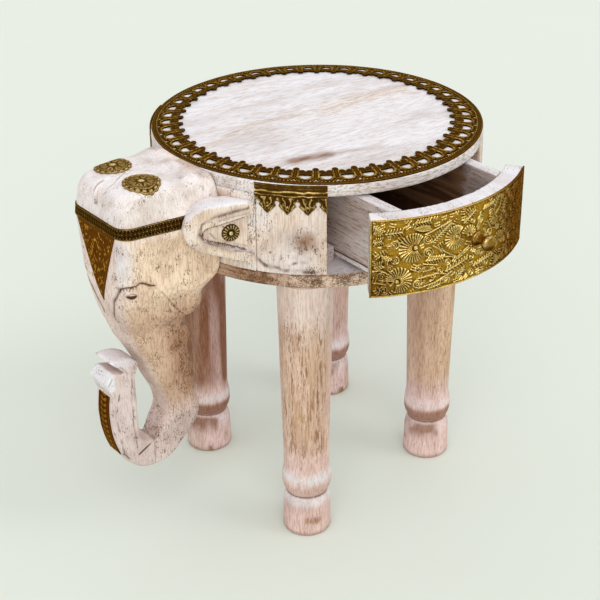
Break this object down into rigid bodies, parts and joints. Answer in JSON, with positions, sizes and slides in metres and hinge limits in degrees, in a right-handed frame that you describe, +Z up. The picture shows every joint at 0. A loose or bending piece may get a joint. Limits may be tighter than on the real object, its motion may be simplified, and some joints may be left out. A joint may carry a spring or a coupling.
{
  "type": "elephant side table",
  "caption": "Round whitewashed wooden side table on turned legs, with a carved elephant head and curled trunk, brass trim, and a bow-fronted drawer clad in embossed brass.",
  "frame": {"origin": "middle of the part's footprint box, on the floor, with the drawer partly open as at rest", "axes": "+X from the tail to the elephant's head, +Y the way the drawer opens, +Z up"},
  "size_m": [0.5024, 0.466, 0.456],
  "materials": {
    "white_wood": "distressed whitewash over brown wood",
    "carved_wood": "worn whitewash, cream wood showing through",
    "leg_wood": "worn whitewash with brown grain",
    "drawer_wood": "thin greyish wash",
    "bare_wood": "unfinished",
    "aged_brass": "dark aged, embossed",
    "drawer_brass": "worn gold, embossed",
    "eye_bead": "carved, stained dark below",
    "screw_steel": "plain"
  },
  "bodies": {
    "table": {"table_top": "white_wood", "base_board": "white_wood", "shoulder_block_left": "white_wood", "shoulder_block_right": "white_wood", "haunch_block_left": "white_wood", "haunch_block_right": "white_wood", "neck_block": "white_wood", "tail_panel": "white_wood", "flank_panel": "white_wood", "head": "carved_wood", "trunk_end": "carved_wood", "ear_left": "carved_wood", "ear_right": "carved_wood", "leg_front_left": "leg_wood", "leg_front_right": "leg_wood", "leg_hind_left": "leg_wood", "leg_hind_right": "leg_wood", "carcass_dowels": "bare_wood", "neck_dowels": "bare_wood", "trunk_dowel": "bare_wood", "drawer_guide_head": "bare_wood", "drawer_guide_tail": "bare_wood", "drawer_runner_head": "bare_wood", "drawer_runner_tail": "bare_wood", "drawer_stop": "bare_wood", "top_border": "aged_brass", "valance_left": "aged_brass", "valance_right": "aged_brass", "head_band": "aged_brass", "forehead_plate": "aged_brass", "trunk_strip": "aged_brass", "crown_boss_left": "aged_brass", "crown_boss_right": "aged_brass", "ear_stud_left": "aged_brass", "ear_stud_right": "aged_brass", "eye_left": "eye_bead", "eye_right": "eye_bead"},
    "drawer": {"drawer_front": "drawer_wood", "drawer_side_head": "drawer_wood", "drawer_side_tail": "drawer_wood", "drawer_back": "drawer_wood", "drawer_bottom": "drawer_wood", "drawer_cladding": "drawer_brass", "drawer_knob": "drawer_brass", "knob_screw": "screw_steel"}
  },
  "joints": [
    {"name": "drawer_slide", "type": "slide", "parent": "table", "child": "drawer", "axis": [0, 1, 0], "range_m": [-0.065, 0.11]}
  ]
}
